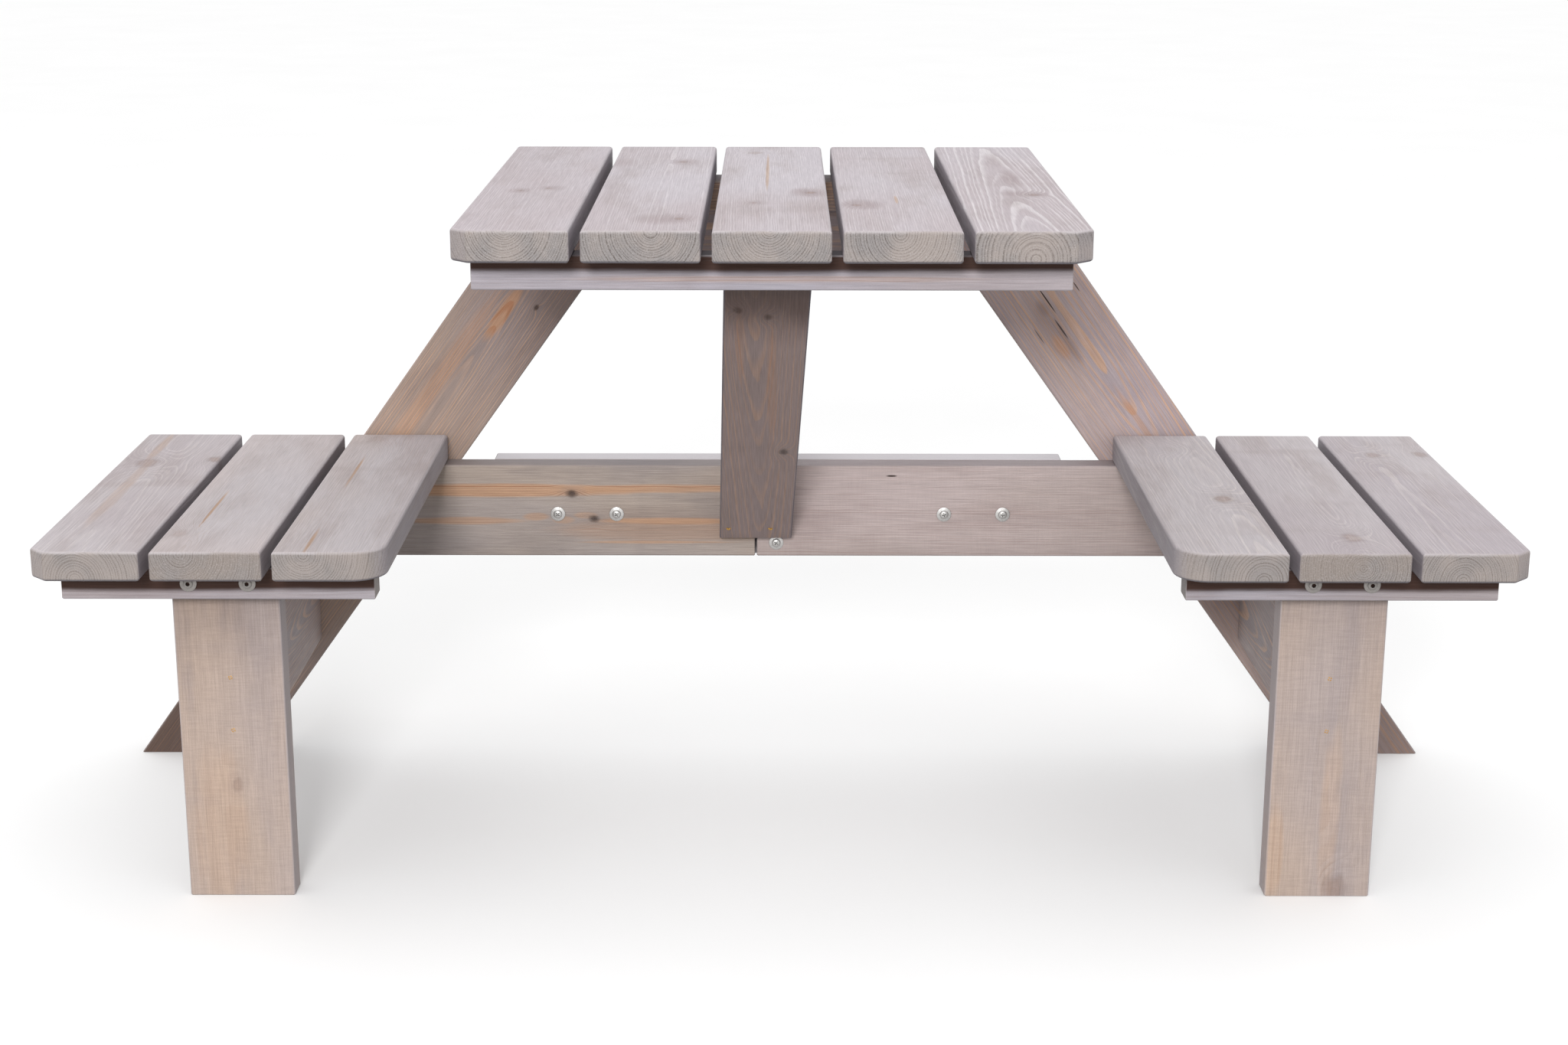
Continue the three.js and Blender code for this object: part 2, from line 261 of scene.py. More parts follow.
# The noises that wood is made of: waves in a metre along the grain, across it and through it,
# then the step added to the board's seed, the detail and the roughness.
NOISES = {
    "bend": ((1.6, 9, 9), 0, 2.0, 0.5),  # slow bends of the whole trunk
    "ripple": ((16, 70, 70), 1, 2.0, 0.5),  # small waves in each ring
    "fibre": ((26, 1100, 1100), 2, 3.0, 0.5),
    "cloud": ((5, 18, 18), 3, 4.0, 0.6),  # uneven glaze
    "band": ((15, 2.5, 2.5), 4, 3.0, 0.5),  # faint bands across the board
    "saw": ((620, 45, 45), 5, 2.0, 0.5),  # fine marks left by the saw
    "coat": ((2.2, 6, 6), 7, 2.0, 0.5),  # where the glaze lies thicker
    "lump": ((70, 110, 110), 8, 2.0, 0.5),  # the uneven outline of a knot
    "pore": ((900, 2600, 2600), 9, 1.0, 0.5),
}
YEAR_WAVES = (170, 1, 1)  # years wide and narrow, out from the pith
YEAR_STEP = 6  # the step added to the seed
YEAR_SPREAD = 1.7  # in rings
RIPPLE_HEIGHT = 0.0018
KNOT_STRETCH = 1.5  # how much longer than wide a knot is
KNOT_HOLD = 0.16  # how soon the rings close again beside a knot
KNOT_PUSH = 1.9  # how far a knot pushes the rings, in knot radii
KNOT_LUMPS = 1.1
CRISP_FADE = (1.3, 0.25)  # the squared distances where a streak starts to show and where it is full
SOFT_FADE = (1.7, -0.4)
RAGGED = 2.4  # how uneven the outline of a streak is
# how strongly painted shade darkens the rounded edges opposite the show face
OPPOSITE_EDGE_SHADE = 0.85


def grain_noise(r, look, point, kind):
    """One of the noises that wood is made of."""
    waves, step, detail, roughness = NOISES[kind]
    return r.noise(point, waves, look["seed"] + step, detail, roughness)


def squared_distance(r, along, across, middle, half_length, half_width):
    """The square of the distance from the middle of an oval, which is 1 at its edge."""
    run = r.calc("DIVIDE", r.calc("SUBTRACT", along, middle[0]), half_length)
    side = r.calc("DIVIDE", r.calc("SUBTRACT", across, middle[1]), half_width)
    return r.add(r.times(run, run), r.times(side, side))


def streak_share(r, along, across, streak, ragged, fade=CRISP_FADE):
    """Full in the middle of a long narrow streak, fading to nothing at its edge."""
    *middle, half_length, half_width, strength = streak
    spot = r.add(squared_distance(r, along, across, middle, half_length, half_width), ragged)
    return r.ramp(spot, *fade, 0.0, strength)


def pith_distance(r, look, point, along, across, depth):
    """How far each point is from the pith, with the trunk's bends."""
    pith_across, pith_depth = look["pith"]
    side = r.add(across, r.times(along, -look["drift"][0]), -pith_across)
    below = r.add(depth, r.times(along, -look["drift"][1]), -pith_depth)
    if look["dive"]:
        start, full, sunk = look["dive"]
        below = r.add(below, r.ramp(along, start, full, 0.0, sunk))
    distance = r.calc("SQRT", r.add(r.times(side, side), r.times(below, below)))
    bend = r.times(r.add(grain_noise(r, look, point, "bend"), -0.5), look["wander"])
    ripple = r.times(r.add(grain_noise(r, look, point, "ripple"), -0.5), RIPPLE_HEIGHT)
    return r.add(distance, r.add(bend, ripple))


def log_rings(r, look, point, along, across, depth):
    """How much late wood there is at each point, and each knot's eye with its darkness."""
    distance = pith_distance(r, look, point, along, across, depth)
    lump = grain_noise(r, look, point, "lump")
    eyes = []
    for *middle, radius, darkness in look["knots"]:
        spot = r.calc("SQRT", squared_distance(r, along, across, middle, radius * KNOT_STRETCH, radius))
        pushed = r.calc("EXPONENT", r.times(spot, spot, -KNOT_HOLD))
        distance = r.add(distance, r.times(pushed, radius * KNOT_PUSH))
        eyes.append((r.add(spot, r.times(lump, KNOT_LUMPS), -KNOT_LUMPS / 2), darkness))
    years = r.noise(r.vector(distance, 0.0, 0.0), YEAR_WAVES, look["seed"] + YEAR_STEP, detail=1.0)
    count = r.add(r.times(distance, 1 / look["ring"]), r.times(years, YEAR_SPREAD))
    year = r.node("ShaderNodeTexWhiteNoise", noise_dimensions="1D")
    r.feed(year.inputs["W"], r.calc("FLOOR", count))
    bold = r.ramp(year.outputs["Value"], 0.0, 1.0, 0.4, 1.0)

    # Late wood comes on slowly through the year and stops short at its end.
    turn = r.calc("FRACT", count)
    late = r.times(r.ramp(turn, 0.48, 0.84), r.ramp(turn, 1.0, 0.94), bold)
    return late, eyes


def glazed(r, look, point, late, cloud):
    """Two tones of glaze, with the late wood showing through and patches where it is thin."""
    coat = grain_noise(r, look, point, "coat")
    band = grain_noise(r, look, point, "band")
    patch = look["patch_strength"]
    face = r.mix(r.ramp(coat, 0.35, 0.65), look["glaze"], look["second"])
    shown = r.times(late, look["line_strength"], r.ramp(cloud, 0.3, 0.62, 0.3, 1.0))
    face = r.mix(shown, face, look["line"])
    face = r.mix(r.times(r.ramp(cloud, 0.45, 0.72), patch), face, look["patch"])
    return r.mix(r.times(r.ramp(band, 0.56, 0.76), patch * 0.6), face, look["patch"])


def with_knots(r, look, face, eyes):
    """Paints each knot: a halo of thin glaze, a brown heart with its own rings, and a broken dark rim.
    """
    for spot, darkness in eyes:
        heart = r.ramp(spot, 1.15, 0.45, 0.0, darkness)
        own_rings = r.ramp(r.calc("FRACT", r.times(spot, 2.7)), 0.1, 0.9, 0.8, 1.0)
        rim = r.times(r.ramp(spot, 0.3, 0.9), r.ramp(spot, 1.5, 0.95), darkness * 0.4)
        face = r.mix(r.ramp(spot, 3.4, 0.9, 0.0, darkness * 0.25), face, look["patch"])
        face = r.mix(r.times(heart, own_rings), face, look["knot"])
        face = r.mix(rim, face, look["rim"])
    return face


def marked(r, look, along, across, face, late, eyes, cloud):
    """Branch smears, resin, knots and cracks, which are the board's own marks, then darkened bands,
    which are mostly painted shade.
    """
    ragged = r.times(r.add(cloud, -0.5), RAGGED)
    for smear in look["smears"]:
        share = streak_share(r, along, across, smear, ragged, SOFT_FADE)
        face = r.mix(share, face, look["smear"])
    for streak in look["streaks"]:
        resin = streak_share(r, along, across, streak, ragged)
        face = r.mix(resin, face, look["warm"])
        face = r.mix(r.times(resin, late, 0.8), face, look["warm_line"])
    face = with_knots(r, look, face, eyes)
    for crack in look["cracks"]:
        share = streak_share(r, along, across, crack, r.times(ragged, 0.3))
        face = r.mix(share, face, look["rim"])
    # Painted shade: dark bands where a board lies in the shadow of planks or the tabletop; some bands
    # only darken a leg towards its foot or a beam towards its lower edge.
    for axis, start, full, strength in look["shades"]:
        reach = r.times(r.add(cloud, -0.5), abs(full - start))
        share = r.ramp(r.add((along, across)[axis], reach), start, full, 0.0, strength)
        face = r.mix(share, face, look["shade"])
    return face


def fibred(r, look, point, face, fibre, saw):
    """Lightens and darkens the face along its fibres, its saw marks and its pores."""
    pore = grain_noise(r, look, point, "pore")
    weave = look["weave"] * 0.1
    strands = r.ramp(fibre, 0.25, 0.75, 1 - look["streaky"], 1 + look["streaky"], smooth=False)
    threads = r.ramp(saw, 0.3, 0.7, 1 - weave, 1 + weave, smooth=False)
    pores = r.ramp(pore, 0.3, 0.7, 0.95, 1.05, smooth=False)
    grey = r.node("ShaderNodeCombineColor")
    for socket in grey.inputs:
        r.feed(socket, r.times(strands, threads, pores))
    return r.mix(1.0, face, grey.outputs[0], blend="MULTIPLY")


def end_grain(r, look, late, fibre, cloud):
    """Sawn ends: dark late wood in broken rings, flecked with glaze."""
    ends = r.mix(r.ramp(cloud, 0.35, 0.65), look["end"], look["end_second"])
    broken = r.ramp(fibre, 0.3, 0.65, 1.0, 0.55)
    rings = r.times(late, r.ramp(cloud, 0.3, 0.65, 0.5, 0.9), broken)
    ends = r.mix(rings, ends, look["end_line"])
    return r.mix(r.ramp(fibre, 0.5, 0.75, 0.0, 0.45), ends, look["end_fleck"])


def wood(name, changes):
    """A planed softwood board. The changes say how it differs from plain wood."""
    entries = {**PLAIN_WOOD, **changes}.items()
    look = {key: tone(entry) if isinstance(entry, str) else entry for key, entry in entries}
    r = Recipe(name)
    point, along, across, depth = r.place()
    late, eyes = log_rings(r, look, point, along, across, depth)
    fibre, cloud, saw = (grain_noise(r, look, point, kind) for kind in ("fibre", "cloud", "saw"))

    face = glazed(r, look, point, late, cloud)
    face = marked(r, look, along, across, face, late, eyes, cloud)
    face = fibred(r, look, point, face, fibre, saw)
    # Painted light and shade on the narrow long faces: darker on most boards, as in the gaps between
    # planks, lighter on the splice board.
    face = r.mix(r.times(r.stored("side_face"), look["side_lighting_strength"]), face, look["side"])
    colour = r.mix(r.stored("end_face"), face, end_grain(r, look, late, fibre, cloud))
    # The show face's rounded edges lighter, partly glaze rubbed thin and partly a painted highlight; the
    # opposite face's rounded edges darker with painted shade.
    worn_and_lit = r.times(r.stored("worn_and_lit_edge"), r.ramp(cloud, 0.35, 0.65, 0.1, 0.55))
    colour = r.mix(worn_and_lit, colour, look["worn_and_lit"])
    colour = r.mix(r.times(r.stored("opposite_shaded_edge"), OPPOSITE_EDGE_SHADE), colour, look["opposite_edge_shade"])

    roughness = r.ramp(r.add(fibre, r.times(late, 0.3)), 0.3, 1.1, 0.68, 0.5)
    height = r.add(r.times(late, 0.5), r.times(fibre, 0.6), r.times(saw, look["weave"] * 0.8))
    r.feed(r.shader.inputs["Base Color"], colour)
    r.feed(r.shader.inputs["Roughness"], roughness)
    r.shader.inputs["Specular IOR Level"].default_value = 0.35
    r.bump(height, 0.0004, 0.55)
    return r.material


# ---- metal ----


def metal(name, colour, roughness):
    """Plated steel: fine random scratches and a little dulling."""
    r = Recipe(name)
    point = r.node("ShaderNodeTexCoord").outputs["Object"]
    dull = r.noise(point, (420, 420, 420), 1, detail=3.0)
    scratch = r.noise(point, (300, 3000, 3000), 2, detail=2.0)
    dulled = r.mix(r.ramp(dull, 0.45, 0.75, 0.0, 0.4), colour, tone("8d8a86"))
    rougher = r.ramp(r.add(dull, scratch), 0.6, 1.3, roughness, roughness + 0.2)
    r.feed(r.shader.inputs["Base Color"], dulled)
    r.feed(r.shader.inputs["Roughness"], rougher)
    r.shader.inputs["Metallic"].default_value = 1.0
    r.bump(r.add(scratch, dull), 0.00006, 0.4)
    return r.material


# ---- boards ----


def placement(centre, along, face):
    """Local X runs along the grain and local Z points out of the show face."""
    axes = Matrix((along, face.cross(along), face)).transposed()
    return Matrix.Translation(centre) @ axes.to_4x4()


def rectangle(length, width, reaches=(0, 0, 0, 0), cut_off=()):
    """An outline as corners and radii, anticlockwise from the low end's right.

    Each corner is rounded by its reach, or cut straight across if its number is in cut_off.
    """
    x, y = length / 2, width / 2
    corners = [Vector((-x, -y)), Vector((x, -y)), Vector((x, y)), Vector((-x, y))]
    outline = []
    for i, (corner, reach) in enumerate(zip(corners, reaches)):
        if i in cut_off:
            for neighbour in (corners[i - 1], corners[(i + 1) % 4]):
                outline.append((corner + (neighbour - corner).normalized() * reach, 0))
        else:
            outline.append((corner, reach))
    return outline


def drawn_in(radius, depth):
    """How far a rounded edge stands back at this depth below the face."""
    if depth >= radius:
        return 0.0
    return radius - math.sqrt(radius ** 2 - (radius - depth) ** 2)


def round_corner(corner, radius, inward, insets):
    """An arc between two edges at right angles, whose own rounding may differ."""
    centre = corner + (inward[0] + inward[1]) * radius
    arc = []
    for step in range(CORNER_STEPS + 1):
        turn = math.pi / 2 * step / CORNER_STEPS
        inset = insets[0] * math.cos(turn) ** 2 + insets[1] * math.sin(turn) ** 2
        outward = -inward[0] * math.cos(turn) - inward[1] * math.sin(turn)
        arc.append(centre + outward * (radius - inset))
    return arc


def sharp_corner(corner, runs, inward, insets):
    """The two ends of the small cut where two edges meet at any angle."""
    lean = inward[0].dot(inward[1])
    first = inward[0] * (insets[0] - insets[1] * lean)
    second = inward[1] * (insets[1] - insets[0] * lean)
    meet = corner + (first + second) / (1 - lean ** 2)
    return [meet - runs[0] * UPRIGHT_CUT, meet + runs[1] * UPRIGHT_CUT]


def ring_at(corners, side_round, end_round, depth):
    """The board's outline at one depth below the face, with its edges' rounding taken off."""
    count = len(corners)
    runs = [(corners[(i + 1) % count][0] - corners[i][0]).normalized() for i in range(count)]
    rounds = [side_round if abs(run.x) > ALONG_GRAIN else end_round for run in runs]
    insets = [drawn_in(radius, depth) for radius in rounds]
    inward = [Vector((-run.y, run.x)) for run in runs]
    ring = []
    for i, (corner, radius) in enumerate(corners):
        both_inward = (inward[i - 1], inward[i])
        both_insets = (insets[i - 1], insets[i])
        if radius:
            ring += round_corner(corner, radius, both_inward, both_insets)
        else:
            ring += sharp_corner(corner, (runs[i - 1], runs[i]), both_inward, both_insets)
    return ring


def mesh_from(made, name):
    """Turns a bmesh into a mesh and frees it."""
    mesh = bpy.data.meshes.new(name)
    made.to_mesh(mesh)
    made.free()
    return mesh


def board_mesh(name, corners, thickness, side_round, end_round):
    """A solid board with rounded edges, drawn as an outline in local X and Y."""
    turns = [math.pi / 2 * i / ROUND_STEPS for i in range(ROUND_STEPS + 1)]
    steps = [side_round * (1 - math.cos(turn)) for turn in turns]
    levels = [(depth, thickness / 2 - depth) for depth in steps]
    levels += [(depth, depth - thickness / 2) for depth in reversed(steps)]
    made = bmesh.new()
    rings = []
    for depth, height in levels:
        outline = ring_at(corners, side_round, end_round, depth)
        rings.append([made.verts.new((*point, height)) for point in outline])
    made.faces.new(rings[0])
    made.faces.new(list(reversed(rings[-1])))
    for upper, lower in zip(rings, rings[1:]):
        for i in range(len(upper)):
            made.faces.new((upper[i - 1], lower[i - 1], lower[i], upper[i]))
    return mesh_from(made, name)


def mark_grain(mesh):
    """Stores each point's place in the board, and which faces are ends, sides or rounded edges."""
    end = mesh.attributes.new("end_face", "FLOAT", "FACE")
    side = mesh.attributes.new("side_face", "FLOAT", "FACE")
    worn_and_lit = mesh.attributes.new("worn_and_lit_edge", "FLOAT", "FACE")
    shaded_opposite = mesh.attributes.new("opposite_shaded_edge", "FLOAT", "FACE")
    for face in mesh.polygons:
        x, y, z = (part ** 2 for part in face.normal)
        end.data[face.index].value = min(1.0, x * END_REACH)
        side.data[face.index].value = y
        # Rounded edges of the show face take the rubbed and lit tone, those of the opposite face take
        # painted shade.
        edge = worn_and_lit if face.normal.z > 0 else shaded_opposite
        edge.data[face.index].value = 4 * (x + y) * z
    grain = mesh.attributes.new("grain", "FLOAT_VECTOR", "POINT")
    for vertex in mesh.vertices:
        grain.data[vertex.index].vector = vertex.co


def add_board(node, corners, thickness, where, look, rounds=(FRAME_ROUND, SAWN_ROUND), reshape=None):
    """Makes the board, reshapes it if asked, and moves its points to their place on the table."""
    mesh = board_mesh(f"{node}_wood", corners, thickness, *rounds)
    if reshape:
        mesh.transform(reshape)
    mark_grain(mesh)
    mesh.transform(where)
    mesh.shade_smooth()
    mesh.set_sharp_from_angle(angle=BOARD_CREASE)
    mesh.materials.append(wood(f"{node}_grain", look))
    piece = bpy.data.objects.new(f"{node}_wood", mesh)
    bpy.context.collection.objects.link(piece)
    even = piece.modifiers.new("even_normals", "WEIGHTED_NORMAL")
    even.keep_sharp = True
    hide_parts(node)
    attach(piece, "root")


def straight_board(node, along, face, look):
    """A square-ended board that fills its CAD node's box."""
    low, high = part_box(node)
    size = high - low
    where = placement((low + high) / 2, along, face)
    length = abs(size.dot(along))
    width = abs(size.dot(face.cross(along)))
    add_board(node, rectangle(length, width), abs(size.dot(face)), where, look)


# ---- the tabletop and the seats ----

FRONT_RIGHT, FRONT_LEFT = 0, 3  # corner numbers in a plank's outline
CUT_ON_RIGHT = {"front_right": OUTER_CUT, "cut_off": (FRONT_RIGHT,)}
CUT_ON_LEFT = {"front_left": OUTER_CUT, "cut_off": (FRONT_LEFT,)}
TOP_SHAPES = [CUT_ON_LEFT, {}, {}, {}, CUT_ON_RIGHT]
SEAT_SHAPES = {
    "left": [CUT_ON_LEFT, {}, {"front_right": INNER_CORNER}],
    "right": [{"front_left": INNER_CORNER}, {}, CUT_ON_RIGHT],
}
TOP_SEED = 2
TOP_SEED_STEP = 3.7
SEAT_SEEDS = {"left": 31, "right": 51}
SEAT_SEED_STEP = 4.3

TOP_LOOKS = [
    {
        "pith": (0.004, 0.019), "ring": 0.0024, "line_strength": 0.35,
        "smears": [(-0.057, 0.015, 0.02, 0.014, 0.5), (-0.039, -0.015, 0.02, 0.016, 0.45)],
        "knots": [(-0.057, 0.015, 0.0035, 0.5), (-0.039, -0.013, 0.003, 0.45)],
    },
    {
        "pith": (-0.010, 0.0185), "ring": 0.0026, "drift": (0.0, 0.010),
        "smears": [
            (0.184, -0.026, 0.03, 0.016, 0.5), (-0.258, -0.020, 0.035, 0.034, 0.55),
            (0.176, 0.045, 0.04, 0.016, 0.4),
        ],
        "knots": [(0.186, -0.022, 0.0045, 0.5), (-0.258, -0.034, 0.0045, 0.5)],
    },
    {
        "pith": (0.004, 0.0165), "ring": 0.0025, "drift": (0.006, -0.004),
        "smears": [(-0.07, -0.042, 0.035, 0.022, 0.65), (-0.146, 0.019, 0.02, 0.014, 0.4)],
        "knots": [
            (0.272, 0.021, 0.008, 0.4), (-0.07, -0.040, 0.005, 0.6), (-0.146, 0.019, 0.003, 0.35),
        ],
        "streaks": [(0.1, 0.006, 0.15, 0.002, 0.8)],
    },
    {
        "pith": (0.001, 0.0155), "ring": 0.0026, "drift": (-0.006, 0.006),
        "smears": [(-0.16, 0.036, 0.035, 0.022, 0.55)], "knots": [(-0.162, 0.040, 0.005, 0.5)],
        "streaks": [(-0.121, -0.002, 0.03, 0.002, 0.8)],
    },
    {
        "pith": (-0.001, -0.021), "ring": 0.0034, "drift": (0.0, -0.03), "line_strength": 0.9,
        "smears": [(-0.078, -0.012, 0.025, 0.026, 0.55), (0.042, -0.009, 0.06, 0.011, 0.5)],
        "knots": [(-0.085, -0.022, 0.0055, 0.5)],
    },
]

SEAT_SHARED = {
    "glaze": "aea29f",
    "second": "b6afb2",
    "patch": "9a8d8c",
    "line": "cbc2c0",
    "warm": "a88b76",
    "line_strength": 0.5,
    "end": "9c928d",
    "end_second": "8b8583",
    "end_line": "5f544d",
}

SEAT_LOOKS = {
    "left": [
        {
            "glaze": "a69b9e", "pith": (0.008, -0.018), "ring": 0.0028, "drift": (0.0, -0.02),
            "knots": [(0.115, 0.023, 0.012, 0.45), (0.134, -0.052, 0.008, 0.6)],
            "streaks": [(0.2, 0.027, 0.08, 0.006, 0.4), (-0.02, 0.022, 0.16, 0.008, 0.3)],
        },
        {
            "glaze": "b8adad", "pith": (0.0253, 0.0145), "ring": 0.0024, "drift": (0.0, 0.004),
            "end": "8e847e", "line": "a5978f", "knots": [(-0.192, 0.041, 0.008, 0.3)],
            "streaks": [(-0.09, 0.027, 0.08, 0.0022, 1.0)],
        },
        {
            "glaze": "b0a3a0", "pith": (0.0244, 0.0145), "ring": 0.0027, "drift": (0.0, 0.004),
            "line": "a19187", "knots": [(0.236, 0.026, 0.010, 0.25)],
            "streaks": [(0.07, 0.0258, 0.075, 0.0022, 1.0), (-0.22, 0.0235, 0.055, 0.003, 1.0)],
        },
    ],
    "right": [
        {
            "glaze": "a79c9d", "pith": (-0.0265, -0.019), "ring": 0.0034, "drift": (0.02, -0.02),
            "line_strength": 0.8, "knots": [(-0.043, -0.026, 0.010, 0.6), (0.19, 0.0, 0.008, 0.1)],
        },
        {
            "glaze": "a89ea2", "pith": (-0.0077, 0.0003), "ring": 0.0024, "end": "8e847e",
            "knots": [(-0.203, -0.008, 0.010, 0.45)],
        },
        {
            "glaze": "aaa1a6", "pith": (0.0143, -0.0134), "ring": 0.0024,
            "knots": [(0.162, 0.013, 0.008, 0.4), (0.166, -0.044, 0.008, 0.45)],
        },
    ],
}


def plank(node, slot, look, seed, front_left=0, front_right=0, cut_off=()):
    """A board along Y with every edge rounded over. The two reaches shape its front corners."""
    low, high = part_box(node)
    size = high - low
    corners = rectangle(size.y, size.x, (front_right, BACK_CORNER, BACK_CORNER, front_left), cut_off)
    where = placement((low + high) / 2, BACK, UP)
    rounds = (PLANK_ROUND, PLANK_ROUND)
    add_board(node, corners, size.z, where, {**look, "seed": seed}, rounds)


def tabletop():
    for i, (look, shape) in enumerate(zip(TOP_LOOKS, TOP_SHAPES)):
        plank(f"top_plank_{i + 1}", "top_wood", look, TOP_SEED + i * TOP_SEED_STEP, **shape)


def seats():
    for side, looks in SEAT_LOOKS.items():
        for i, (look, shape) in enumerate(zip(looks, SEAT_SHAPES[side])):
            seed = SEAT_SEEDS[side] + i * SEAT_SEED_STEP
            plank(f"{side}_seat_plank_{i + 1}", "seat_wood", {**SEAT_SHARED, **look}, seed, **shape)


# ---- the battens ----

# The brown boards, where the glaze is thin and the late wood shows as light orange lines.
BROWN_WOOD = {
    "glaze": "9c8a80",
    "second": "958785",
    "line": "cba283",
    "patch": "857672",
    "warm": "c4936c",
    "warm_line": "9c5f3a",
    "smear": "6e554b",
    "knot": "3f302b",
    "rim": "33241d",
    "end": "857b77",
    "worn_and_lit": "a99b95",
    "line_strength": 0.75,
    "streaky": 0.16,
    "ring": 0.0026,
}

FRONT_BATTEN = {
    "glaze": "aca2a5", "second": "aaa5ae", "line": "958886", "patch": "9a8f93", "warm": "b89a8a",
    "pith": (0.05, -0.02), "seed": 71, "streaks": [(0.0, -0.006, 0.2, 0.004, 0.4)],
    # shades: painted shadow along its top, under the overhang of the tabletop planks
    "shades": [(ACROSS, -0.002, 0.005, 1.0)],
}
BACK_BATTEN = {**BROWN_WOOD, "glaze": "7d6350", "pith": (0.04, -0.03), "seed": 74}
SEAT_BATTEN = {
    "glaze": "aba1a3", "second": "a9a3aa", "line": "8b7d7a", "patch": "978b8d", "pith": (-0.05, -0.04),
    # shades: painted shadow along its top, under the overhang of the seat planks
    "shades": [(ACROSS, -0.010, -0.003, 1.0)],
}
SEAT_BATTEN_SEEDS = {"left": 77, "right": 81}


def battens():
    straight_board("front_top_batten", RIGHT, FRONT, FRONT_BATTEN)
    straight_board("back_top_batten", RIGHT, FRONT, BACK_BATTEN)
    for side, seed in SEAT_BATTEN_SEEDS.items():
        look = {**SEAT_BATTEN, "seed": seed}
        straight_board(f"{side}_seat_batten", RIGHT, FRONT, look)


# ---- the frame ----


FRONT_LEG = {
    "glaze": "b4a093", "second": "ad9f9b", "line": "a08f86", "patch": "998e8f", "warm": "c2a38a",
    # side: painted shade on the narrow side faces, lighter than on the other boards
    "side": "9f9ba3", "pith": (0.0, -0.05), "ring": 0.006, "line_strength": 0.35, "weave": 0.55,
}
FRONT_LEG_MARKS = {
    "left": {
        "knots": [(-0.064, -0.001, 0.005, 0.5)], "seed": 91,
        # shades: painted shade towards the top of the leg, under the seat
        "streaks": [(-0.12, 0.02, 0.1, 0.03, 0.3)], "shades": [(ALONG, 0.0, 0.2, 0.25)],
    },
    "right": {
        "knots": [(-0.186, -0.018, 0.011, 0.6)], "seed": 95,
        "streaks": [(-0.1, -0.01, 0.12, 0.012, 0.3), (-0.14, 0.05, 0.06, 0.01, 0.4)],
    },
}

STRETCHER = {**BROWN_WOOD, "glaze": "9c9395", "pith": (0.01, -0.03), "drift": (0.0, 0.05)}
STRETCHER_FACES = {"left": RIGHT, "right": -RIGHT}
STRETCHER_SEEDS = {"left": 101, "right": 105}

# The boards that run across, by node.
BEAM_LOOKS = {
    "left_seat_beam": {
        "glaze": "a99b91", "second": "9c9596", "patch": "857c7a", "line": "8f7868", "line_strength": 0.3,
        "warm": "bd9678", "warm_line": "8f5d3e", "pith": (0.10, -0.02), "ring": 0.0021, "wander": 0.006,
        "seed": 111,
        "knots": [(0.139, 0.022, 0.0045, 1.0), (0.166, -0.010, 0.004, 1.0)],
        "smears": [(0.26, -0.018, 0.16, 0.022, 0.35)],
        "streaks": [
            (0.03, 0.026, 0.22, 0.008, 0.9), (0.27, 0.028, 0.12, 0.006, 0.8),
            (0.094, -0.008, 0.016, 0.005, 0.5), (0.128, -0.012, 0.014, 0.005, 0.4),
            (0.155, -0.006, 0.014, 0.004, 0.4), (0.27, -0.013, 0.10, 0.0045, 0.8),
            (0.0, -0.013, 0.08, 0.005, 0.6), (0.235, -0.040, 0.10, 0.0018, 0.6),
            (0.25, -0.026, 0.16, 0.014, 0.25),
        ],
    },
    "right_seat_beam": {
        "glaze": "bdaeac", "second": "b5a6a2", "patch": "9a8784", "line": "97796a", "line_strength": 0.4,
        "pith": (-0.10, -0.03), "weave": 0.25, "seed": 115,
        # shades: darker towards the lower edge
        "cracks": [(-0.228, 0.0445, 0.007, 0.0012, 1.0)], "shades": [(ACROSS, -0.030, -0.075, 0.2)],
    },
    "splice_board": {
        "glaze": "bcb4b5", "second": "b7b0b4", "patch": "a39999", "line": "a3928a", "line_strength": 0.4,
        # side: painted light on the narrow top and bottom faces
        "side": "d6d2d6", "side_lighting_strength": 0.9, "pith": (0.08, -0.03), "seed": 119,
    },
    "head_board": {"glaze": "8f8386", "pith": (0.0, -0.05), "seed": 123},
}

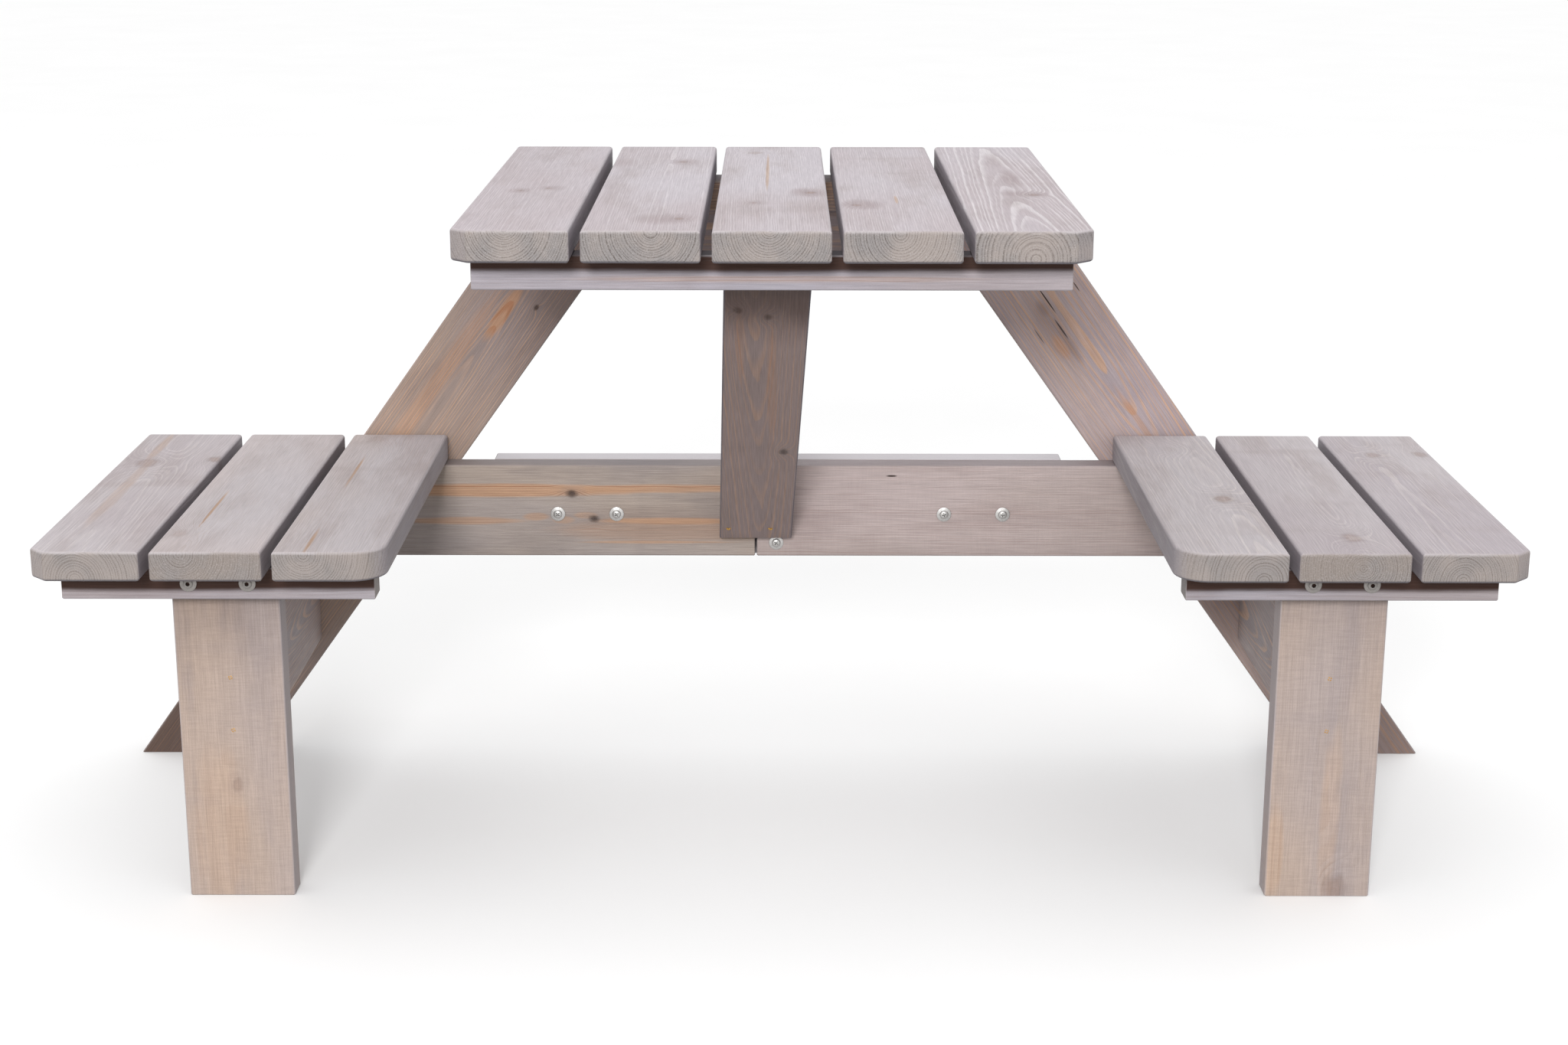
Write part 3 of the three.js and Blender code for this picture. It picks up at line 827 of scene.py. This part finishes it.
LEANING_LOOKS = {
    "left": {
        "pith": (0.003, 0.005), "dive": (0.10, 0.34, 0.0085), "ring": 0.0029, "line_strength": 0.8,
        "wander": 0.005, "seed": 131,
        "streaks": [(0.25, 0.004, 0.045, 0.008, 0.7), (0.10, 0.022, 0.16, 0.012, 0.25)],
        "knots": [(0.275, -0.025, 0.0024, 1.0)],
        # shades: painted shade towards the head, under the tabletop, and darker towards the foot
        "shades": [(ALONG, 0.02, 0.32, 0.3), (ALONG, -0.30, -0.42, 0.75)],
    },
    "right": {
        "glaze": "b3a09b", "second": "aa9c9f", "patch": "92858b", "line_strength": 0.95,
        "pith": (-0.012, -0.004), "dive": (0.18, -0.12, 0.016), "ring": 0.0034, "seed": 135,
        "smears": [
            (0.232, 0.010, 0.045, 0.020, 0.3), (0.205, 0.006, 0.03, 0.006, 0.4),
            (0.262, 0.008, 0.012, 0.006, 0.4), (0.300, -0.030, 0.010, 0.014, 0.5),
        ],
        "streaks": [(0.085, -0.010, 0.05, 0.004, 0.4), (0.21, 0.016, 0.02, 0.008, 0.45)],
        "cracks": [
            (0.267, -0.0025, 0.020, 0.0010, 1.0), (0.261, -0.041, 0.008, 0.0008, 0.9),
            (0.228, 0.003, 0.016, 0.0012, 0.9), (0.236, 0.030, 0.012, 0.0010, 0.6),
        ],
        # shades: the lower part darker, so that the upper part, in the tabletop's shadow, reads lighter,
        # which is painted light; then darker towards the foot
        "shades": [(ALONG, 0.15, -0.05, 0.18), (ALONG, -0.32, -0.44, 0.4)],
    },
}

BRACE_LOOK = {
    "glaze": "958380", "second": "918285", "line": "b48e76", "warm": "ad8468",
    "pith": (0.004, 0.028), "drift": (0.0, 0.03), "seed": 141,
    "knots": [(-0.265, 0.022, 0.004, 0.9), (-0.25, -0.009, 0.004, 0.9), (0.07, -0.025, 0.0045, 0.9)],
    "streaks": [(-0.18, 0.021, 0.09, 0.005, 0.3), (-0.1, -0.012, 0.15, 0.006, 0.3)],
    # shades: painted shadow towards the top, under the front batten and the planks
    "shades": [(ALONG, -0.18, -0.29, 0.75)],
}


def front_legs():
    for side, marks in FRONT_LEG_MARKS.items():
        straight_board(f"{side}_front_leg", UP, FRONT, {**FRONT_LEG, **marks})


def stretchers():
    """The stretchers stand on edge, and each shows its face to the middle of the table."""
    for side, face in STRETCHER_FACES.items():
        look = {**STRETCHER, "seed": STRETCHER_SEEDS[side]}
        straight_board(f"{side}_stretcher", BACK, face, look)


def beams():
    for node, look in BEAM_LOOKS.items():
        straight_board(node, RIGHT, FRONT, {**BROWN_WOOD, **look})


def span_at(node, height):
    """The lowest and highest X of the CAD node's points at one level."""
    points = [vertex.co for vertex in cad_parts[node].data.vertices]
    level = [point.x for point in points if abs(point.z - height) < SAME_LEVEL]
    return min(level), max(level)


def leaning_legs():
    """Boards whose feet and heads are sawn level, so their outlines come from the CAD's own corners."""
    for side, look in LEANING_LOOKS.items():
        node = f"{side}_a_leg"
        low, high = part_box(node)
        foot, head = span_at(node, low.z), span_at(node, high.z)
        middle = (low + high) / 2
        along = Vector((head[0] - foot[0], 0, high.z - low.z)).normalized()
        where = placement(middle, along, FRONT)
        points = [(foot[0], low.z), (foot[1], low.z), (head[1], high.z), (head[0], high.z)]
        local = [where.inverted() @ Vector((x, middle.y, z)) for x, z in points]
        corners = [(point.to_2d(), 0) for point in local]
        add_board(node, corners, high.y - low.y, where, {**BROWN_WOOD, **look})


def brace_outline(low, high, head, nose, along):
    """The brace from the side, as Y and Z: its front edge, level foot, back edge, and cut top."""
    splice_low, splice_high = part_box("splice_board")
    rise = (splice_high.y - splice_low.y) / along.x
    slope = along.y / along.x
    back_top = head.y + rise + (high.y - head.x) * slope
    top_back = head.x + (high.z - head.y - rise) / slope
    return [head, nose, (high.y, low.z), (high.y, back_top), (top_back, high.z), (head.x, high.z)]


def centre_brace():
    """A sloping board cut to meet the front batten and the beam. It is drawn from its narrow side."""
    low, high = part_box("centre_brace")
    nose = Vector((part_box("left_seat_beam")[0].y - BRACE_NOSE, low.z))
    head = Vector((low.y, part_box("front_top_batten")[0].z))
    along = (nose - head).normalized()
    grain = Vector((0, along.x, along.y))
    middle = Vector(((low.x + high.x) / 2, *(head + nose) / 2))
    where = placement(middle, grain, RIGHT.cross(grain))
    corners = []
    for point in brace_outline(low, high, head, nose, along):
        local = where.inverted() @ Vector((middle.x, *point))
        corners.append((local.xz, 0))
    stood_up = Matrix.Rotation(math.pi / 2, 4, "X")
    skewed = Matrix.Identity(4)
    skewed[1][0] = BRACE_SKEW * along.x * where.col[1].x
    look = {**BROWN_WOOD, **BRACE_LOOK}
    add_board("centre_brace", corners, BRACE_WIDTH, where, look, reshape=skewed @ stood_up)


# ---- screws ----

# A washer head's section: shares of its radius, then of its crown's height or its flange's.
WASHER_DOME = [(0, 1), (0.22, 0.99), (0.42, 0.9), (0.53, 0.72), (0.56, 0.5)]
WASHER_RIM = [(0.58, 1.15), (0.66, 1), (0.9, 0.92), (0.98, 0.7), (1, 0.4)]
WASHER_FOOT = 0.985  # the flange's underside
WASHER_SHANK = 1 / 3

# A countersunk head's section: shares of its radius, then of how far it stands proud.
COUNTERSUNK_DOME = [(0, 1), (0.35, 0.9), (0.65, 0.6), (0.88, 0.15), (1, -0.4)]
COUNTERSUNK_SHANK = 0.45
COUNTERSUNK_NECK = 1.4

# A shank's section. The pitch, the root, the neck and the point are in shank radii.
THREAD_START = 0.3  # share of the screw's length
THREAD_PITCH = 0.9
THREAD_ROOT = 0.72
NECK = 0.8
POINT = 2

# Recesses, as shares of the head's radius.
WASHER_CROSS = (0.36, 0.13)  # reach and blade width
COUNTERSUNK_CROSS = (0.62, 0.22)
COUNTERSUNK_CROSS_DEPTH = 0.5
SOCKET_REACH = 0.28
CROSS_TAPER = 0.35  # a blade's reach and its width at the bottom, as shares of those at the top
BLADE_TAPER = 0.74


def lathe(profile):
    """A closed turned solid. The profile gives radii and heights from its top down to its foot."""
    made = bmesh.new()
    turns = [2 * math.pi * i / LATHE_STEPS for i in range(LATHE_STEPS)]
    rings = []
    for radius, height in profile:
        if radius == 0:
            rings.append([made.verts.new((0, 0, height))])
        else:
            spots = [(radius * math.cos(turn), radius * math.sin(turn), height) for turn in turns]
            rings.append([made.verts.new(spot) for spot in spots])
    for upper, lower in zip(rings, rings[1:]):
        for i in range(LATHE_STEPS):
            after = (i + 1) % LATHE_STEPS
            if len(upper) == 1:
                made.faces.new((upper[0], lower[i], lower[after]))
            elif len(lower) == 1:
                made.faces.new((upper[i], lower[0], upper[after]))
            else:
                made.faces.new((upper[i], lower[i], lower[after], upper[after]))
    return mesh_from(made, "turned")


def add_prism(made, top_ring, bottom_ring):
    """A closed solid between two rings of points, wound anticlockwise from above."""
    upper, lower = [[made.verts.new(point) for point in ring] for ring in (top_ring, bottom_ring)]
    made.faces.new(upper)
    made.faces.new(list(reversed(lower)))
    for i in range(len(upper)):
        made.faces.new((upper[i - 1], lower[i - 1], lower[i], upper[i]))


def cross_cutter(reach, width, top, bottom):
    """Two crossed tapering blades, for a cross recess."""
    made = bmesh.new()
    levels = [(reach, width / 2, top), (reach * CROSS_TAPER, width / 2 * BLADE_TAPER, bottom)]
    for turn in (0, math.pi / 2):
        spin = Matrix.Rotation(turn, 3, "Z")
        rings = []
        for x, y, height in levels:
            corners = [(-x, -y, height), (x, -y, height), (x, y, height), (-x, y, height)]
            rings.append([spin @ Vector(corner) for corner in corners])
        add_prism(made, *rings)
    return mesh_from(made, "cross")


def socket_cutter(reach, top, bottom):
    """A six-sided socket."""
    made = bmesh.new()
    turns = [math.pi / 3 * i for i in range(6)]
    corners = [(reach * math.cos(turn), reach * math.sin(turn)) for turn in turns]
    add_prism(made, *[[(*corner, height) for corner in corners] for height in (top, bottom)])
    return mesh_from(made, "socket")


def with_recess(mesh, cutter):
    """The mesh with the cutter taken out of it."""
    body = bpy.data.objects.new("recess_body", mesh)
    tool = bpy.data.objects.new("recess_tool", cutter)
    for part in (body, tool):
        bpy.context.collection.objects.link(part)
    cut = body.modifiers.new("recess", "BOOLEAN")
    cut.object = tool
    cut.operation = "DIFFERENCE"
    cut.solver = "EXACT"
    cut.use_self = True
    result = bpy.data.meshes.new_from_object(body.evaluated_get(bpy.context.evaluated_depsgraph_get()))
    for part in (body, tool):
        bpy.data.objects.remove(part)
    result.shade_smooth()
    result.set_sharp_from_angle(angle=HEAD_CREASE)
    return result


def shank_profile(shank, length):
    """The threaded shank and its point, from the neck down."""
    pitch = shank * THREAD_PITCH
    start = length * THREAD_START
    turns = int((length - start - shank * POINT) / pitch)
    profile = [(shank * NECK, -start)]
    for i in range(turns):
        crest = -start - (i + 0.5) * pitch
        profile += [(shank, crest), (shank * THREAD_ROOT, crest - pitch / 2)]
    return profile + [(0, -length)]


def washer_body(radius, crown, length):
    """A flat washer flange with a low domed crown. Height 0 is the wood's face."""
    shank = radius * WASHER_SHANK
    profile = [(radius * out, crown * up) for out, up in WASHER_DOME]
    profile += [(radius * out, WASHER_FLANGE * up) for out, up in WASHER_RIM]
    profile += [(radius * WASHER_FOOT, WASHER_LIFT), (shank, WASHER_LIFT), (shank * NECK, -WASHER_NECK)]
    return lathe(profile + shank_profile(shank, length))


def washer_screw(radius, crown, length):
    reach, width = (radius * share for share in WASHER_CROSS)
    cutter = cross_cutter(reach, width, crown + CUTTER_CLEARANCE, crown * WASHER_CROSS_FLOOR)
    return with_recess(washer_body(radius, crown, length), cutter)


def washer_bolt(radius, crown, length):
    cutter = socket_cutter(radius * SOCKET_REACH, crown + CUTTER_CLEARANCE, -crown)
    return with_recess(washer_body(radius, crown, length), cutter)


def countersunk_screw(radius, proud, length):
    """A cone head with a low dome and a cross recess, a hair proud of the wood."""
    shank = radius * COUNTERSUNK_SHANK
    profile = [(radius * out, proud * up) for out, up in COUNTERSUNK_DOME]
    profile += [(shank, -radius), (shank * NECK, -radius * COUNTERSUNK_NECK)]
    reach, width = (radius * share for share in COUNTERSUNK_CROSS)
    cutter = cross_cutter(reach, width, proud + CUTTER_CLEARANCE, -radius * COUNTERSUNK_CROSS_DEPTH)
    return with_recess(lathe(profile + shank_profile(shank, length)), cutter)


def plated(mesh, material):
    mesh.materials.clear()
    mesh.materials.append(material)
    return mesh


def chance_turn(name):
    """A turn that differs from screw to screw and never changes."""
    score = sum(ord(letter) * (i + 1) for i, letter in enumerate(name))
    return score % TURN_CHOICES / TURN_CHOICES * math.pi / 2


def screw_piece(name, mesh, centre, face):
    """One screw with its head at centre, looking out along face, and turned a little by chance."""
    piece = bpy.data.objects.new(f"{name}_metal", mesh)
    bpy.context.collection.objects.link(piece)
    turn = Matrix.Rotation(chance_turn(name), 4, "Z")
    piece.matrix_world = placement(centre, RIGHT, face) @ turn
    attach(piece, "root")
    return piece


def nodes_named(*prefixes):
    return [node for node in sorted(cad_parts) if node.startswith(prefixes)]


def shown_screws(nodes, make, proud, material):
    """Screws in front faces, which stand for CAD nodes. Those of the same size share one mesh."""
    meshes = {}
    for node in nodes:
        low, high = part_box(node)
        radius = round((high.x - low.x) / 2, 4)
        if radius not in meshes:
            meshes[radius] = plated(make(radius, proud, high.y - low.y - proud), material)
        centre = Vector(((low.x + high.x) / 2, low.y + proud, (low.z + high.z) / 2))
        piece = screw_piece(node, meshes[radius], centre, FRONT)
        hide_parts(node)


def plank_screws(material):
    """Screws driven up through the battens into the planks. They only show from below."""
    mesh = plated(countersunk_screw(PLANK_SCREW_RADIUS, COUNTERSUNK_PROUD, PLANK_SCREW_LENGTH), material)
    battens_under = {
        "top_plank": ("front_top_batten", "back_top_batten"),
        "left_seat_plank": ("left_seat_batten",),
        "right_seat_plank": ("right_seat_batten",),
    }
    for prefix, names in battens_under.items():
        for board in nodes_named(prefix):
            board_low, board_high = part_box(board)
            middle = (board_low.x + board_high.x) / 2
            for batten in names:
                low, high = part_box(batten)
                for number, side in enumerate((-1, 1), 1):
                    spot = (middle + side * PLANK_SCREW_SPREAD, (low.y + high.y) / 2, low.z)
                    name = f"{board}_{batten}_screw_{number}"
                    screw_piece(name, mesh, Vector(spot), -UP)


def screws():
    zinc = metal("zinc_plate", tone("b4b2b0"), 0.36)
    dull_zinc = metal("dull_zinc_plate", tone("8d8986"), 0.5)
    brass = metal("brass_plate", tone("b98f48"), 0.3)
    washer_heads = nodes_named("splice_screw", "joint_screw", "left_a_leg_screw", "right_a_leg_screw")
    bolts = nodes_named("left_seat_bolt", "right_seat_bolt")
    leg_screws = nodes_named("left_leg_screw", "right_leg_screw")
    brace_screws = nodes_named("brace_screw")
    shown_screws(washer_heads, washer_screw, WASHER_CROWN, zinc)
    shown_screws(bolts, washer_bolt, WASHER_CROWN, dull_zinc)
    shown_screws(leg_screws, countersunk_screw, COUNTERSUNK_PROUD, brass)
    shown_screws(brace_screws, countersunk_screw, COUNTERSUNK_PROUD, brass)
    plank_screws(zinc)


# ---- the studio ----


def floor():
    """A wide sheet of white paper, which throws no light back up under the boards."""
    made = bmesh.new()
    bmesh.ops.create_grid(made, x_segments=2, y_segments=2, size=FLOOR_REACH)
    mesh = mesh_from(made, "floor")
    r = Recipe("floor_paper")
    mottle = r.noise(r.node("ShaderNodeTexCoord").outputs["Object"], (3, 3, 3), 5)
    r.feed(r.shader.inputs["Base Color"], r.mix(mottle, tone("f6f6f6"), tone("fafafa")))
    r.shader.inputs["Roughness"].default_value = 0.95
    r.shader.inputs["Specular IOR Level"].default_value = 0.1
    mesh.materials.append(r.material)
    sheet = bpy.data.objects.new("floor", mesh)
    bpy.context.collection.objects.link(sheet)
    sheet.visible_diffuse = False


def sky():
    """An even white tent overhead, and dim below, so that shadows under the boards stay deep."""
    world = bpy.data.worlds.new("studio")
    world.use_nodes = True
    tree = world.node_tree
    direction = tree.nodes.new("ShaderNodeTexCoord")
    parts = tree.nodes.new("ShaderNodeSeparateXYZ")
    tent = tree.nodes.new("ShaderNodeMapRange")
    tree.links.new(direction.outputs["Generated"], parts.inputs[0])
    tree.links.new(parts.outputs["Z"], tent.inputs["Value"])
    tent.inputs["From Min"].default_value = HORIZON[0]
    tent.inputs["From Max"].default_value = HORIZON[1]
    tent.inputs["To Min"].default_value = SKY_BELOW
    tent.inputs["To Max"].default_value = SKY_ABOVE
    tree.links.new(tent.outputs[0], tree.nodes["Background"].inputs["Strength"])
    tree.nodes["Background"].inputs["Color"].default_value = (1, 1, 1, 1)
    bpy.context.scene.world = world


def lamp():
    """A square soft box aimed at the middle of the table."""
    light = bpy.data.lights.new("front", "AREA")
    light.size = LAMP_SIZE
    light.energy = LAMP_WATTS
    box = bpy.data.objects.new("front", light)
    box.location = LAMP_SPOT
    aim = (cad_low + cad_high) / 2 - box.location
    box.rotation_euler = aim.to_track_quat("-Z", "Y").to_euler()
    bpy.context.collection.objects.link(box)


def camera():
    """Standing height in front of the table, looking down at it."""
    lens = bpy.data.cameras.new("camera")
    lens.sensor_width = CAMERA_SENSOR
    lens.lens = CAMERA_LENS
    eye = bpy.data.objects.new("camera", lens)
    turn = Matrix.Rotation(math.radians(CAMERA_TURN), 4, "Z")
    tilt = Matrix.Rotation(math.radians(90 - CAMERA_DOWN), 4, "X")
    roll = Matrix.Rotation(math.radians(CAMERA_ROLL), 4, "Z")
    eye.matrix_world = Matrix.Translation(CAMERA_SPOT) @ turn @ tilt @ roll
    bpy.context.collection.objects.link(eye)
    bpy.context.scene.camera = eye
    bpy.context.scene.view_settings.view_transform = "Standard"


tabletop()
seats()
battens()
front_legs()
stretchers()
beams()
leaning_legs()
centre_brace()
screws()
floor()
sky()
lamp()
camera()
